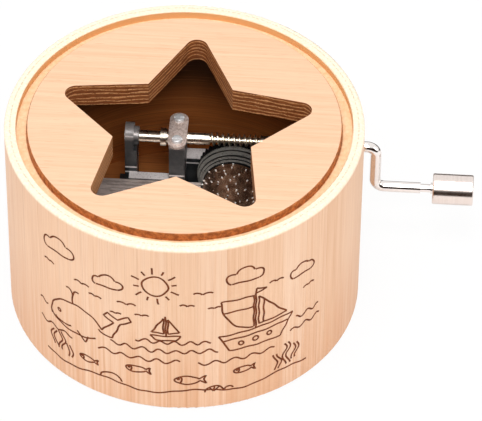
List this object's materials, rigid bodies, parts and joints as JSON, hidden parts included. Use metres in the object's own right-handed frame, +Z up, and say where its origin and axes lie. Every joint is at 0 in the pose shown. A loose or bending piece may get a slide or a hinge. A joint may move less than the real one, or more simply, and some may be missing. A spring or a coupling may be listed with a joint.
{
  "type": "hand crank music box",
  "caption": "Round wooden music box with a star window in its lid, a pinned-drum comb movement inside and a hand crank on its side.",
  "frame": {"origin": "centre of the case's flat underside", "axes": "+X along the crankshaft towards the crank, +Y towards the back of the case, +Z up"},
  "size_m": [0.1054, 0.08, 0.05],
  "materials": {
    "case_outer": "matt bamboo, vertical strips",
    "case_inner": "matt bamboo, grain round the case",
    "lid_ply": "matt bamboo plywood",
    "base_ply": "matt plywood",
    "zinc_casting": "as cast, grey",
    "bright_steel": "bright",
    "shaft_steel": "polished",
    "crank_chrome": "polished",
    "knob_metal": "satin, turned",
    "comb_steel": "ground",
    "weight_metal": "dull grey",
    "wheel_plastic": "black, moulded",
    "drum_bronze": "browned",
    "pin_steel": "bright",
    "screw_steel": "plated"
  },
  "bodies": {
    "case": {"outer_wall": "case_outer", "inner_wall": "case_inner", "lid": "lid_ply", "base_board": "base_ply", "mounting_screws": "screw_steel", "bedplate": "zinc_casting", "retaining_plate": "bright_steel", "retaining_plate_screws": "screw_steel", "front_bearing": "bright_steel", "front_bearing_screws": "screw_steel", "comb": "comb_steel", "comb_weights": "weight_metal", "comb_screws": "screw_steel"},
    "crank": {"crankshaft": "shaft_steel", "shaft_collar": "bright_steel", "crank_rod": "crank_chrome", "knob_rivet": "bright_steel"},
    "knob": {"crank_knob": "knob_metal"},
    "drum": {"drum_gear": "wheel_plastic", "drum_tube": "drum_bronze", "drum_pins": "pin_steel", "drum_end_cap": "wheel_plastic", "drum_arbor": "bright_steel"}
  },
  "joints": [
    {"name": "crank_spin", "type": "hinge", "parent": "case", "child": "crank", "pos_m": [0, 0.0218, 0.025], "axis": [1, 0, 0], "continuous": true},
    {"name": "knob_spin", "type": "hinge", "parent": "crank", "child": "knob", "pos_m": [0.0607, 0.0218, 0.01285], "axis": [1, 0, 0], "continuous": true},
    {"name": "drum_spin", "type": "hinge", "parent": "case", "child": "drum", "pos_m": [0.01, 0.0073, 0.0158], "axis": [0, -1, 0], "continuous": true}
  ],
  "couplings": [
    {"joint": "drum_spin", "follows": "crank_spin", "ratio": 0.025}
  ]
}
